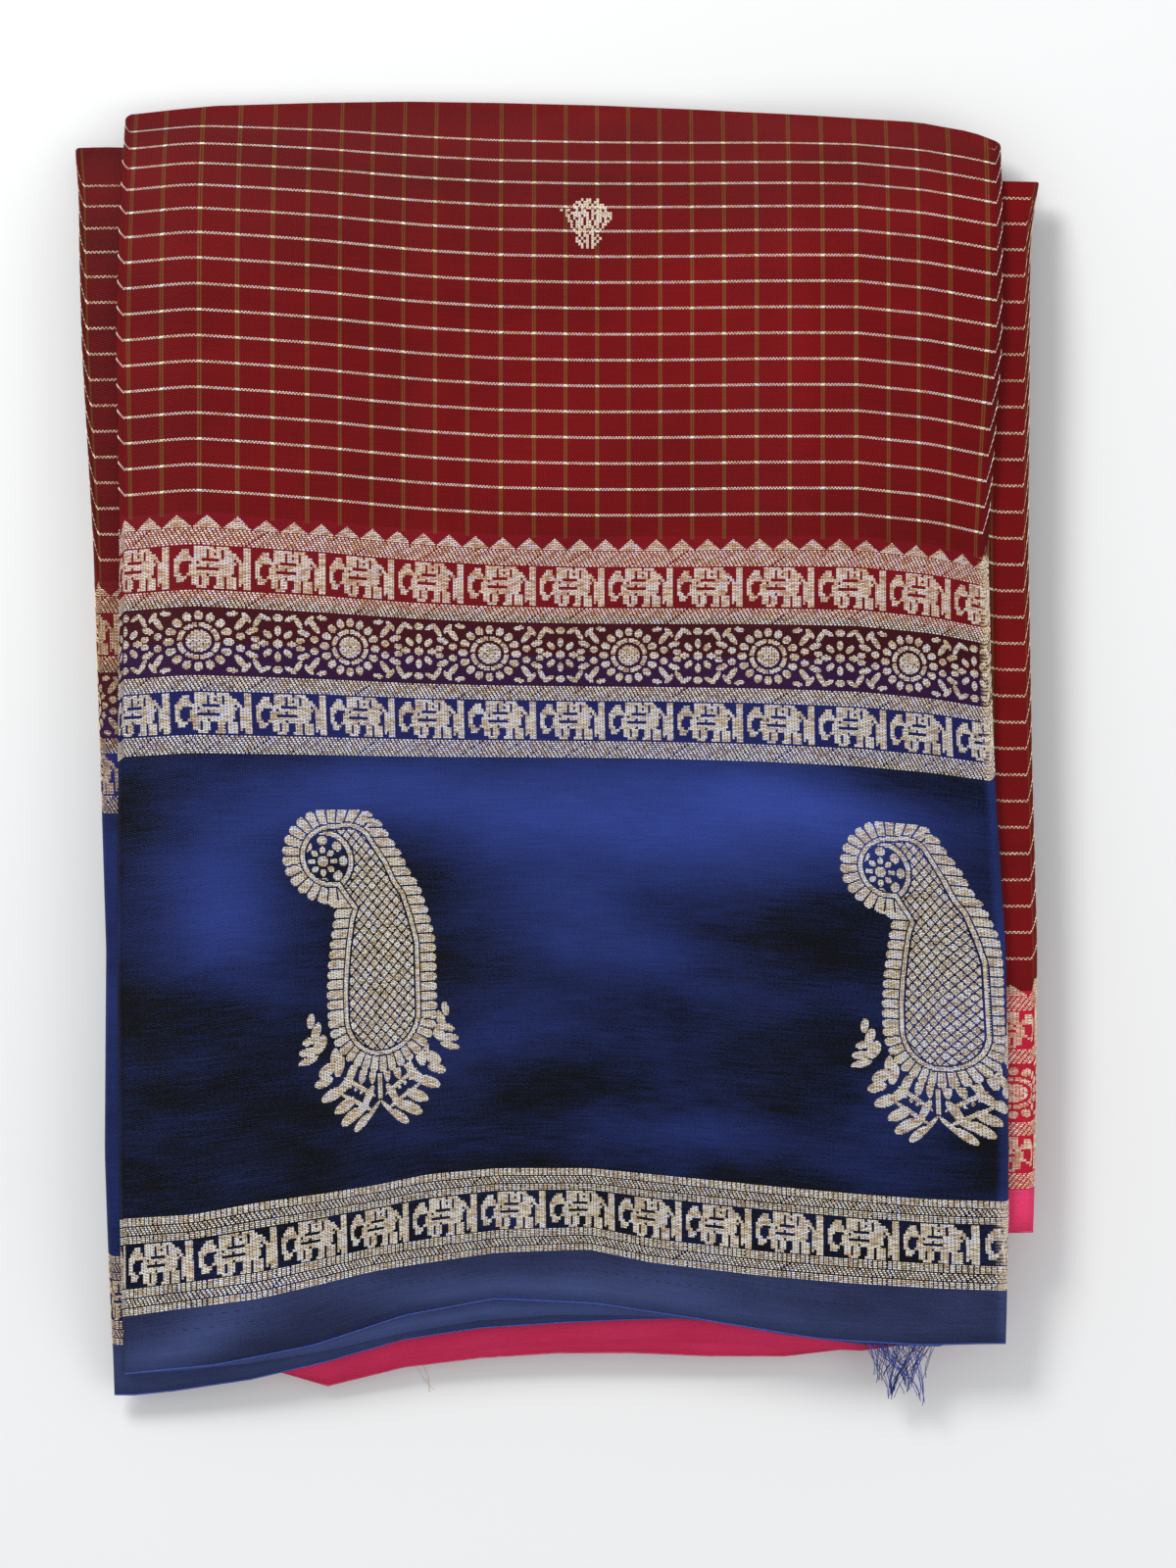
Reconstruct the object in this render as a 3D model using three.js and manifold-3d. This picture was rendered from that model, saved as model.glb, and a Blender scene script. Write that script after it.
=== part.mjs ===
// Folded sari: one length of silk, folded in half across its width and then back and forth along its length.
// Millimetres, +Z up. The sari lies face up on a flat surface, with the fold of its width towards +Y and both
// of its selvedge hems towards -Y. X runs along the length of the cloth, across the folded stack.
import * as THREE from 'three'
import { mergeVertices } from 'three/addons/utils/BufferGeometryUtils.js'
import Module from 'manifold-3d'

const wasm = await Module()
wasm.setup()

// Driving sizes
const CLOTH = { thickness: 1.0, pitch: 1.78, edgePress: 0.06 }
const TURN = { segments: 3, easing: 0.3 } // the hairpin at each end of a panel
const CREST = { segments: 3, bulge: 1.15 } // the fold across the width
const LAST_PANEL = 12
const FLAP = { slot: 22, freeEnd: 192, spaceFrom: 70, spaceTo: 130 } // panel 0, tucked in under panel 1

// The stack is level between neighbouring lines of this list, or falls evenly from one to the next. It is pressed
// flatter towards its folded edges, from PRESS_FROM to PRESS_TO.
const BEND_LINES = [-340, -290, -240, -180, -120, 60, 240, 262, 282, 302, 322]
const PRESS_FROM = 190
const PRESS_TO = 240

// Lines of the folded stack are given at these places across it
const ACROSS = [-215, -170, -120, -75, -30, 20, 70, 130, 180, 205, 222]
const TIP_LINES = {
  p1: [316.2, 320.7, 322.2, 322.9, 322.2, 320.9, 318.7, 315, 311.5, 306.4, 298.9],
}
const HEM_LINES = {
  blue1: [-310.7, -306.3, -296, -280.7, -272.2, -274.7, -282.5, -292.5, -295.7, -295, -295],
  blue2: [-310.7, -308, -300, -289.5, -281.8, -279.6, -282.5, -293.5, -298, -294, -291],
  blue3: [-322, -318, -306.5, -293, -286.3, -284, -281.6, -286, -290, -291, -292],
  red5: [-297, -304, -316, -304, -298, -295.5, -294.5, -299, -300, -285, -270],
  red6: [-299, -299, -319.5, -308, -302.5, -300, -302.5, -302.5, -292, -288, -280],
}
const HIDDEN_ARCH = { rise: 26, halfWidth: 215 } // the hidden hems bow like the front one

// Folded edges: where a turn that shows lies from the hem end to the crest, at these distances along the stack
const ALONG = [-300, -200, -100, 0, 100, 200, 300]
const EDGE_LINES = {
  frontRight: [222.5, 223.2, 221.7, 215.4, 212.6, 219.8, 220.5],
  frontLeft: [-214.1, -215.6, -216.4, -216.1, -215.4, -217.1, -214.9],
  secondRight: [234.2, 237, 237.9, 235.2, 233.5, 234.2, 234.7],
  secondLeft: [-220, -223.4, -222.7, -225.8, -229.1, -235, -237.7],
}
// One row for each turn, between a panel and the next. side is +1 on the right. line names a row above, or hemX and
// tipX give a straight edge. flare spreads the edge near its crest. setIn is how far the inner layer's turn stays
// behind the outer one at the hem. tip, blueHem and redHem are where the crest and the two hems are at this turn.
const TURNS = [
  { side: 1, line: 'frontRight', flare: 0, setIn: 0, tip: 298.9, blueHem: -295, redHem: -188 },
  { side: -1, line: 'frontLeft', flare: 0, setIn: 0, tip: 316.2, blueHem: -310.7, redHem: -172 },
  { side: 1, line: 'secondRight', flare: 4.9, setIn: 20, tip: 281.4, blueHem: -292, redHem: -239.6 },
  { side: -1, line: 'secondLeft', flare: 2, setIn: 0, tip: 299.5, blueHem: -322, redHem: -186 },
  { side: 1, hemX: 211, tipX: 208, flare: 0, setIn: 0, tip: 270, blueHem: -270, redHem: -270 },
  { side: -1, hemX: -205, tipX: -209, flare: 0, setIn: 0, tip: 238, blueHem: -288, redHem: -298 },
  { side: 1, hemX: 208, tipX: 209, flare: 0, setIn: 0, tip: 240, blueHem: -268, redHem: -280 },
  { side: -1, hemX: -209, tipX: -206, flare: 0, setIn: 0, tip: 256, blueHem: -286, redHem: -250 },
  { side: 1, hemX: 207, tipX: 211, flare: 0, setIn: 0, tip: 262, blueHem: -272, redHem: -252 },
  { side: -1, hemX: -207, tipX: -210, flare: 0, setIn: 0, tip: 275, blueHem: -276, redHem: -240 },
  { side: 1, hemX: 210, tipX: 206, flare: 0, setIn: 0, tip: 282, blueHem: -264, redHem: -233 },
  { side: -1, hemX: -204, tipX: -208, flare: 0, setIn: 0, tip: 295, blueHem: -262, redHem: -228 },
]
const LAST_EDGE = { x: 206, tip: 298, blueHem: -258, redHem: -226 } // the inner end of the cloth
const FLARE_LENGTH = 40
const TURN_STEP = 3 // no hidden crest comes nearer than this to the front one

// Places across each panel where the cloth may bend, between its two turns
const BENDS = [
  [206],
  [-190, -155, -120, -75, -30, 20, 70, 130, 190, 206],
  [-190, -75, 20, 130, 190],
  [-190, -155, -120, -75, -30, 70, 190],
  [-190, -65, 65, 190],
  [-190, -150, -120, -75, 20, 110, 190],
  [-190, -150, -120, -75, 20, 70, 130, 190],
  [-190, -65, 65, 190],
  [-190, -65, 65, 190],
  [-190, -65, 65, 190],
  [-190, -65, 65, 190],
  [-190, -65, 65, 190],
  [-190, -65, 65, 190],
]

// Bends along the width, from the hem to the crest. A bend that a short layer has no room for is moved in by CROWDING.
const WIDTH_BENDS = BEND_LINES.slice(1, -1)
const CROWDING = 1.5

// Tuft of end threads. Each clump leans and narrows evenly, so its threads never cross.
const TUFT = {
  left: 149.5, right: 188.5, y: -287.5, depth: 4, thickness: 0.7,
  count: 30, radius: 0.28, sides: 3, lengthSpread: 0.09,
}
const CLUMPS = [
  { from: 0, to: 0.3, leanX: 3, width: 0.72, length: 29 },
  { from: 0.3, to: 0.62, leanX: -1.5, width: 0.7, length: 34 },
  { from: 0.62, to: 0.86, leanX: -4, width: 0.72, length: 31 },
  { from: 0.86, to: 1, leanX: 0.5, width: 0.8, length: 23 },
]

const clamp = THREE.MathUtils.clamp
const smooth = (value) => THREE.MathUtils.smoothstep(value, 0, 1)
const mix = THREE.MathUtils.lerp

// Value of a line that is given at the places of a list, with straight stretches between them
function along(places, values, at) {
  const last = places.length - 1
  let i = 0
  while (i < last - 1 && at > places[i + 1]) i++
  return mix(values[i], values[i + 1], (at - places[i]) / (places[i + 1] - places[i]))
}

function alongWithin(places, values, at) {
  return along(places, values, clamp(at, places[0], places.at(-1)))
}

// X of a turn's outer layer at y
function edgeX(turn, y) {
  const straight = mix(turn.hemX ?? 0, turn.tipX ?? 0, (y - ALONG[0]) / (ALONG.at(-1) - ALONG[0]))
  const base = turn.line ? alongWithin(ALONG, EDGE_LINES[turn.line], y) : straight
  return base + turn.side * turn.flare * smooth((y - turn.tip + FLARE_LENGTH) / FLARE_LENGTH) ** 2
}

// Crest and hems of a panel at x, from its two turns
function between(panel, key, x) {
  const before = panel > 0 ? TURNS[panel - 1] : TURNS[0]
  const after = TURNS[panel] ?? LAST_EDGE
  const [left, right] = panel % 2 === 0 ? [before, after] : [after, before]
  return mix(left[key], right[key], clamp((x - ACROSS[0]) / (ACROSS.at(-1) - ACROSS[0]), 0, 1))
}

function tipY(panel, x) {
  const front = alongWithin(ACROSS, TIP_LINES.p1, x)
  if (panel === 1) return front
  if (panel === 0) return front - TURN_STEP
  return Math.min(between(panel, 'tip', x), front - TURN_STEP)
}

function hemY(panel, part, x) {
  const line = HEM_LINES[part + panel]
  if (line) return alongWithin(ACROSS, line, x)
  const bow = part === 'blue' ? 1 - Math.min(1, (x / HIDDEN_ARCH.halfWidth) ** 2) : 0
  return between(panel, part + 'Hem', x) + HIDDEN_ARCH.rise * bow
}

// Slots count the layers from the surface up. Even panels lie red half up, odd panels blue half up.
function slotOf(panel, part) {
  const base = panel === 0 ? FLAP.slot : panel === 1 ? FLAP.slot + 2 : 2 * (LAST_PANEL - panel)
  const blueOnTop = panel % 2 === 1
  return base + (blueOnTop === (part === 'blue') ? 1 : 0)
}

// Which bend lines a layer takes up room at: those next to any of its cloth, between its lowest hem and highest crest
const LAYERS = []
for (let panel = 0; panel <= LAST_PANEL; panel++) {
  const places = panel === 0 ? ACROSS.filter((x) => x > FLAP.freeEnd) : ACROSS
  for (const part of ['blue', 'red']) {
    const crest = Math.max(...places.map((x) => tipY(panel, x)))
    const hem = Math.min(...places.map((x) => hemY(panel, part, x)))
    const filled = BEND_LINES.map((_, i) => (BEND_LINES[i - 1] ?? -Infinity) < crest && (BEND_LINES[i + 1] ?? Infinity) > hem)
    LAYERS[slotOf(panel, part)] = { panel, filled }
  }
}

// Height of the middle of a layer
function heightAt(panel, part, x, y) {
  const flapShare = clamp((x - FLAP.spaceFrom) / (FLAP.spaceTo - FLAP.spaceFrom), 0, 1)
  const press = CLOTH.edgePress * clamp((Math.abs(x) - PRESS_FROM) / (PRESS_TO - PRESS_FROM), 0, 1)
  const under = BEND_LINES.map((_, i) => LAYERS.slice(0, slotOf(panel, part)).reduce((sum, layer) =>
    sum + (layer.filled[i] ? (layer.panel === 0 ? flapShare : 1) : 0), 0))
  return CLOTH.thickness / 2 + CLOTH.pitch * (1 - press) * alongWithin(BEND_LINES, under, y)
}

// Stations along the length of the cloth, from the flap's free end to the inner end
function lengthStations() {
  const list = [{ panel: 0, x: FLAP.freeEnd }]
  for (let panel = 0; panel <= LAST_PANEL; panel++) {
    const bends = panel % 2 === 1 ? [...BENDS[panel]].reverse() : BENDS[panel]
    for (const x of bends) list.push({ panel, x })
    if (panel === LAST_PANEL) list.push({ panel, x: LAST_EDGE.x })
    else for (let i = 0; i <= TURN.segments; i++) list.push({ panel, turn: TURNS[panel], share: i / TURN.segments })
  }
  return list
}

// A place on the cloth's middle: at a station of the length, on one half of the width, at y
function layerPoint(station, part, y) {
  const { panel, turn, share } = station
  if (!turn) return new THREE.Vector3(station.x, y, heightAt(panel, part, station.x, y))
  const outer = (part === 'blue') === (panel === 0 || panel % 2 === 1)
  const inwards = turn.setIn * clamp((turn.tip - y) / (turn.tip - turn.redHem), 0, 1) + CLOTH.pitch
  const edge = edgeX(turn, y) - turn.side * (outer ? 0 : inwards)
  const from = heightAt(panel, part, edge, y)
  const to = heightAt(panel + 1, part, edge, y)
  const half = (from - to) / 2
  const reach = Math.abs(half) + TURN.easing
  const angle = Math.PI * (0.5 - share)
  const x = edge - turn.side * reach * (1 - Math.cos(angle))
  return new THREE.Vector3(x, y, (from + to) / 2 + half * Math.sin(angle))
}

// Crest and hem of a station. Round a turn they pass from one panel's to the next one's.
function limitOf(station, limit, x) {
  if (!station.turn) return limit(station.panel, x)
  return mix(limit(station.panel, x), limit(station.panel + 1, x), station.share)
}

// The places of a half's bends, between its hem and its crest
function bendsBetween(hem, crest) {
  const most = WIDTH_BENDS.length
  const inner = WIDTH_BENDS.map((y, i) => clamp(y, hem + (i + 1) * CROWDING, crest - (most - i) * CROWDING))
  return [hem, ...inner, crest]
}

// The whole way across the width at one station: blue half, crest, red half
function widthLine(station) {
  const x = station.turn ? edgeX(station.turn, 0) : station.x
  const crestStart = limitOf(station, tipY, x) - CREST.bulge
  const blueHem = limitOf(station, (panel, at) => hemY(panel, 'blue', at), x)
  const redHem = limitOf(station, (panel, at) => hemY(panel, 'red', at), x)
  const blue = bendsBetween(blueHem, crestStart).map((y) => layerPoint(station, 'blue', y))
  const red = bendsBetween(redHem, crestStart).reverse().map((y) => layerPoint(station, 'red', y))
  const middle = blue.at(-1).clone().add(red[0]).multiplyScalar(0.5)
  const arm = blue.at(-1).clone().sub(red[0]).multiplyScalar(0.5)
  const crest = []
  for (let i = 1; i < CREST.segments; i++) {
    const angle = Math.PI * (0.5 - i / CREST.segments)
    const point = middle.clone().addScaledVector(arm, Math.sin(angle))
    point.y += CREST.bulge * Math.cos(angle)
    crest.push(point)
  }
  return [...blue, ...crest, ...red]
}

// A closed sheet of even thickness round a grid of middle points, with nothing under the surface it lies on
function thickSheet(grid, thickness) {
  const rows = grid.length
  const columns = grid[0].length
  const positions = []
  for (const side of [0.5, -0.5]) {
    for (let i = 0; i < rows; i++) {
      for (let j = 0; j < columns; j++) {
        const du = grid[Math.min(i + 1, rows - 1)][j].clone().sub(grid[Math.max(i - 1, 0)][j]).normalize()
        const dv = grid[i][Math.min(j + 1, columns - 1)].clone().sub(grid[i][Math.max(j - 1, 0)]).normalize()
        const normal = du.cross(dv).normalize()
        const point = grid[i][j].clone().addScaledVector(normal, side * thickness)
        positions.push(point.x, point.y, Math.max(0, point.z))
      }
    }
  }
  const count = rows * columns
  const at = (i, j, face) => face * count + i * columns + j
  const faces = []
  const quad = (a, b, c, d) => faces.push(a, b, c, a, c, d)
  for (let i = 0; i < rows - 1; i++) {
    for (let j = 0; j < columns - 1; j++) {
      quad(at(i, j, 0), at(i + 1, j, 0), at(i + 1, j + 1, 0), at(i, j + 1, 0))
      quad(at(i, j, 1), at(i, j + 1, 1), at(i + 1, j + 1, 1), at(i + 1, j, 1))
    }
  }
  for (let i = 0; i < rows - 1; i++) {
    quad(at(i, 0, 1), at(i + 1, 0, 1), at(i + 1, 0, 0), at(i, 0, 0))
    quad(at(i, columns - 1, 0), at(i + 1, columns - 1, 0), at(i + 1, columns - 1, 1), at(i, columns - 1, 1))
  }
  for (let j = 0; j < columns - 1; j++) {
    quad(at(0, j, 0), at(0, j + 1, 0), at(0, j + 1, 1), at(0, j, 1))
    quad(at(rows - 1, j, 1), at(rows - 1, j + 1, 1), at(rows - 1, j + 1, 0), at(rows - 1, j, 0))
  }
  const geometry = new THREE.BufferGeometry()
  geometry.setAttribute('position', new THREE.Float32BufferAttribute(positions, 3))
  geometry.setIndex(faces)
  return geometry
}

function asSolid(geometry) {
  geometry.deleteAttribute('normal')
  geometry.deleteAttribute('uv')
  const merged = mergeVertices(geometry, 1e-4)
  return new wasm.Manifold(new wasm.Mesh({
    numProp: 3,
    vertProperties: new Float32Array(merged.attributes.position.array),
    triVerts: new Uint32Array(merged.index.array),
  }))
}

function asGeometry(solid) {
  const mesh = solid.getMesh()
  const geometry = new THREE.BufferGeometry()
  geometry.setAttribute('position', new THREE.BufferAttribute(mesh.vertProperties, 3))
  geometry.setIndex(new THREE.BufferAttribute(mesh.triVerts, 1))
  return geometry
}

// One thread, as a thin prism that starts inside the strip and falls as the flap beside it would
function thread(start, tip) {
  const bend = start.clone().lerp(tip, (BEND_LINES[1] - start.y) / (tip.y - start.y))
  const points = [start, bend, tip].map((point) => point.setZ(heightAt(0, 'blue', point.x, point.y)))
  const corners = []
  for (let i = 0; i < TUFT.sides; i++) {
    const angle = (2 * Math.PI * i) / TUFT.sides
    corners.push(new THREE.Vector3(TUFT.radius * Math.cos(angle), 0, TUFT.radius * Math.sin(angle)))
  }
  const positions = points.flatMap((point) => corners.flatMap((corner) => point.clone().add(corner).toArray()))
  const faces = [0, 2, 1]
  for (let i = 0; i < points.length - 1; i++) {
    for (let k = 0; k < TUFT.sides; k++) {
      const [a, b] = [i * TUFT.sides + k, i * TUFT.sides + ((k + 1) % TUFT.sides)]
      faces.push(a, b, a + TUFT.sides, b, b + TUFT.sides, a + TUFT.sides)
    }
  }
  const last = (points.length - 1) * TUFT.sides
  faces.push(last, last + 1, last + 2)
  const geometry = new THREE.BufferGeometry()
  geometry.setAttribute('position', new THREE.Float32BufferAttribute(positions, 3))
  geometry.setIndex(faces)
  return geometry
}

function tuftGeometry() {
  const middleX = (TUFT.left + TUFT.right) / 2
  const z = heightAt(0, 'blue', middleX, TUFT.y)
  const strip = new THREE.BoxGeometry(TUFT.right - TUFT.left, TUFT.depth, TUFT.thickness)
  strip.translate(middleX, TUFT.y, z)
  let solid = asSolid(strip)
  for (let i = 0; i < TUFT.count; i++) {
    const share = (i + 0.5) / TUFT.count
    const clump = CLUMPS.find((c) => share <= c.to)
    const x = mix(TUFT.left, TUFT.right, share)
    const clumpX = mix(TUFT.left, TUFT.right, (clump.from + clump.to) / 2)
    const reach = 1 + TUFT.lengthSpread * Math.sin(2.3 * i)
    const tipX = x + (clump.leanX - (1 - clump.width) * (x - clumpX)) * reach
    const tip = new THREE.Vector3(tipX, TUFT.y - clump.length * reach, 0)
    solid = solid.add(asSolid(thread(new THREE.Vector3(x, TUFT.y, 0), tip)))
  }
  return asGeometry(solid)
}

const silk = new THREE.MeshStandardMaterial({ color: 0x7d0f1f, roughness: 0.45, metalness: 0 })
const warp = new THREE.MeshStandardMaterial({ color: 0x1b2260, roughness: 0.5, metalness: 0 })

const part = new THREE.Group()

const cloth = new THREE.Mesh(thickSheet(lengthStations().map(widthLine), CLOTH.thickness), silk)
cloth.name = 'sari_cloth'
part.add(cloth)

const tuft = new THREE.Mesh(tuftGeometry(), warp)
tuft.name = 'end_threads'
part.add(tuft)

// The origin is under the middle of the box, on the surface that the sari lies on
const box = new THREE.Box3().setFromObject(part)
const centre = box.getCenter(new THREE.Vector3())
part.position.set(-centre.x, -centre.y, -box.min.z)

export default part
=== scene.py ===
# Folded sari: one length of silk, folded in half across its width and then back and forth along its length.
# The sizes are in millimetres, in the part's own axes: +Y towards the fold of the width, +Z up. MM makes them
# metres. u runs along the length of the cloth and v across its width, from the blue hem to the red hem.
import math
import random

import bpy
import mathutils
import numpy as np
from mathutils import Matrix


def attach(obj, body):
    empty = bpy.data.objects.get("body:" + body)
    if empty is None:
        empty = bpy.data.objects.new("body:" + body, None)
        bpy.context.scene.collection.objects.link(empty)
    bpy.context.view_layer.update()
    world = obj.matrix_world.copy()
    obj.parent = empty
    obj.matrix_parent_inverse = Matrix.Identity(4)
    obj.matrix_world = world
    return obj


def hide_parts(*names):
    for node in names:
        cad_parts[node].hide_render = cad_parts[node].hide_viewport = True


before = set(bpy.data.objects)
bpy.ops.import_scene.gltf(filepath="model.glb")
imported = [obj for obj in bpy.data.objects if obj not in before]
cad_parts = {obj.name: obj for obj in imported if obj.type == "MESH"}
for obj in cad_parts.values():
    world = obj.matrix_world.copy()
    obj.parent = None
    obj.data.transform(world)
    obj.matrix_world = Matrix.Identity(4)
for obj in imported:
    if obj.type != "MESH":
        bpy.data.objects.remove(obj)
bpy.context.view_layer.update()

MM = 0.001
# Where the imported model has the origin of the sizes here
ORIGIN = (0.085, 0.685, 0)
WIDTH = 1106
# Where v passes into the border and into the checked body, and the border of the red side, from its hem
BORDER_FROM = 308
BODY_FROM = 426
RED_BORDER = {"hem": 22, "height": 102}
BODY_TO = WIDTH - RED_BORDER["hem"] - RED_BORDER["height"]
CLOTH = {"thickness": 0.36, "pitch": 1.78, "base": 0.22, "edge_press": 0.06}
LAST_PANEL = 12
FLAP = {"slot": 22, "free_end": 192, "space_from": 70, "space_to": 130}

# The stack of layers, as in the part: it is level between these lines, or falls from one to the next
BEND_LINES = [-340, -290, -240, -180, -120, 60, 240, 262, 282, 302, 322]
SOFTEN = [-9, -5, 0, 5, 9]
PRESS_FROM = 190
PRESS_TO = 240
ACROSS = [-215, -170, -120, -75, -30, 20, 70, 130, 180, 205, 222]
FRONT_TIP = [316.2, 320.7, 322.2, 322.9, 322.2, 320.9, 318.7, 315, 311.5, 306.4, 298.9]
HEM_LINES = {
    ("blue", 1): [-310.7, -306.3, -296, -280.7, -272.2, -274.7, -282.5, -292.5, -295.7, -295, -295],
    ("blue", 2): [-310.7, -308, -300, -289.5, -281.8, -279.6, -282.5, -293.5, -298, -294, -291],
    ("blue", 3): [-322, -318, -306.5, -293, -286.3, -284, -281.6, -286, -290, -291, -292],
    ("red", 5): [-297, -304, -316, -304, -298, -295.5, -294.5, -299, -300, -285, -270],
    ("red", 6): [-299, -299, -319.5, -308, -302.5, -300, -302.5, -302.5, -292, -288, -280],
}
HIDDEN_ARCH = {"rise": 26, "half_width": 215}
ALONG = [-300, -200, -100, 0, 100, 200, 300]
EDGE_LINES = {
    "front_right": [222.5, 223.2, 221.7, 215.4, 212.6, 219.8, 220.5],
    "front_left": [-214.1, -215.6, -216.4, -216.1, -215.4, -217.1, -214.9],
    "second_right": [234.2, 237, 237.9, 235.2, 233.5, 234.2, 234.7],
    "second_left": [-220, -223.4, -222.7, -225.8, -229.1, -235, -237.7],
}
# One row for each turn: its side, its line or its X at the hem and at the crest, how far it flares there, how
# far the inner layer's turn stays behind at the hem, and where the crest and the two hems are
TURN_COLUMNS = ["side", "line", "hem_x", "tip_x", "flare", "set_in", "tip", "blue", "red"]
TURN_ROWS = [
    [1, "front_right", 0, 0, 0, 0, 298.9, -295, -188],
    [-1, "front_left", 0, 0, 0, 0, 316.2, -310.7, -172],
    [1, "second_right", 0, 0, 4.9, 20, 281.4, -292, -239.6],
    [-1, "second_left", 0, 0, 2, 0, 299.5, -322, -186],
    [1, None, 211, 208, 0, 0, 270, -270, -270],
    [-1, None, -205, -209, 0, 0, 238, -288, -298],
    [1, None, 208, 209, 0, 0, 240, -268, -280],
    [-1, None, -209, -206, 0, 0, 256, -286, -250],
    [1, None, 207, 211, 0, 0, 262, -272, -252],
    [-1, None, -207, -210, 0, 0, 275, -276, -240],
    [1, None, 210, 206, 0, 0, 282, -264, -233],
    [-1, None, -204, -208, 0, 0, 295, -262, -228],
]
TURNS = [dict(zip(TURN_COLUMNS, row)) for row in TURN_ROWS]
LAST_EDGE = {"x": 206, "tip": 298, "blue": -258, "red": -226}
FLARE_LENGTH = 40
TURN_STEP = 3
TURN_EASING = 0.3
FACE_LIMIT = 190
STRIP_DROOP = {"from": 212, "reach": 25, "drop": 2.6}

# How finely the cloth is made
GRID = {
    "front": 56, "panel": 11, "near": [0.2, 0.45, 0.7, 0.87, 1.0],
    "turn": 6, "blue": 78, "crest": 5, "red": 46,
}

# Where the woven lines of the front run: v, and Y at the places of ROW_X
ROW_X = [-214, -179, -147, -114, -90, -63, -29, 16, 47, 98, 148, 182, 222]
ROW_LINES = {
    29.5: [-281, -276, -272, -264, -258, -254, -249, -247, -254, -260, -264, -266, -268.5],
    78.5: [-232, -230, -224, -219.5, -215.6, -210, -207, -207, -210, -215, -219.5, -222, -223.7],
    BORDER_FROM: [-4.4, -2.5, -3, -3.5, -4, -4.4, -4.6, -4.9, -5.2, -6.6, -9, -12, -17],
    BODY_FROM: [113, 115.6, 113.5, 111, 108.5, 106, 104, 103, 103, 103.6, 103.5, 100, 93],
}
LEFT_STRIP_ROWS = {29.5: -296, 78.5: -251.4, BORDER_FROM: -32.3, BODY_FROM: 81.3}
# Over the crest the cloth turns down, so less of it shows: distance on the cloth, and as seen from above
CREST_BULGE = 1.0
CREST_CLOTH = [0, 2, 15.1, 28.2, 41.4, 54.5, 67.6, 80.7, 93.9, 120.1, 420]
CREST_SEEN = [0, 1.3, 7.7, 16.4, 26.9, 37.7, 49.7, 61.7, 74.5, 100, 391]

# Where the pillars between the elephants stand on the front, left to right, and at which v of border and band
UNIT = 34.3
UPPER_PILLARS = [-194.7, -154, -116.9, -83, -49, -13.2, 20.6, 54.4, 88.7, 124, 159.7, 192.1]
LOWER_PILLARS = [-182.8, -140.6, -105.8, -75.7, -42.1, -8.3, 25.8, 58.8, 93.2, 128.4, 166.1, 201.7]
LOWER_V = 54
UPPER_V = 340

rng = random.Random(11)


def smooth(value):
    t = np.clip(value, 0, 1)
    return t * t * (3 - 2 * t)


def mix(a, b, share):
    return a + (b - a) * share


def line_at(places, values, at):
    return np.interp(at, places, values)


# Shape of the stack
def edge_x(turn, y):
    if turn["line"]:
        base = line_at(ALONG, EDGE_LINES[turn["line"]], y)
    else:
        base = mix(turn["hem_x"], turn["tip_x"], (y - ALONG[0]) / (ALONG[-1] - ALONG[0]))
    return base + turn["side"] * turn["flare"] * smooth((y - turn["tip"] + FLARE_LENGTH) / FLARE_LENGTH) ** 2


def between(panel, key, x):
    before = TURNS[max(panel - 1, 0)]
    after = TURNS[panel] if panel < LAST_PANEL else LAST_EDGE
    left, right = (before, after) if panel % 2 == 0 else (after, before)
    return mix(left[key], right[key], np.clip((x - ACROSS[0]) / (ACROSS[-1] - ACROSS[0]), 0, 1))


def tip_y(panel, x):
    front = line_at(ACROSS, FRONT_TIP, x)
    if panel == 1:
        return front
    if panel == 0:
        return front - TURN_STEP
    return np.minimum(between(panel, "tip", x), front - TURN_STEP)


def hem_y(panel, half, x):
    if (half, panel) in HEM_LINES:
        return line_at(ACROSS, HEM_LINES[half, panel], x)
    bow = 1 - min(1, (x / HIDDEN_ARCH["half_width"]) ** 2) if half == "blue" else 0
    return between(panel, half, x) + HIDDEN_ARCH["rise"] * bow


def slot_of(panel, half):
    base = {0: FLAP["slot"], 1: FLAP["slot"] + 2}.get(panel, 2 * (LAST_PANEL - panel))
    return base + ((panel % 2 == 1) == (half == "blue"))


def count_layers():
    """For each slot, the layers below it at every bend line: those always there, and those of the flap."""
    filled = np.zeros((2 * LAST_PANEL + 2, len(BEND_LINES)))
    from_flap = np.zeros(len(filled), bool)
    for panel in range(LAST_PANEL + 1):
        places = [x for x in ACROSS if panel or x > FLAP["free_end"]]
        for half in ("blue", "red"):
            crest = max(tip_y(panel, x) for x in places)
            hem = min(hem_y(panel, half, x) for x in places)
            low = [-math.inf] + BEND_LINES[:-1]
            high = BEND_LINES[1:] + [math.inf]
            filled[slot_of(panel, half)] = [a < crest and b > hem for a, b in zip(low, high)]
            from_flap[slot_of(panel, half)] = panel == 0
    steady = np.cumsum(filled * ~from_flap[:, None], axis=0) - filled * ~from_flap[:, None]
    flap = np.cumsum(filled * from_flap[:, None], axis=0) - filled * from_flap[:, None]
    return steady, flap


STEADY, FLAP_COUNT = count_layers()


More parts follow.
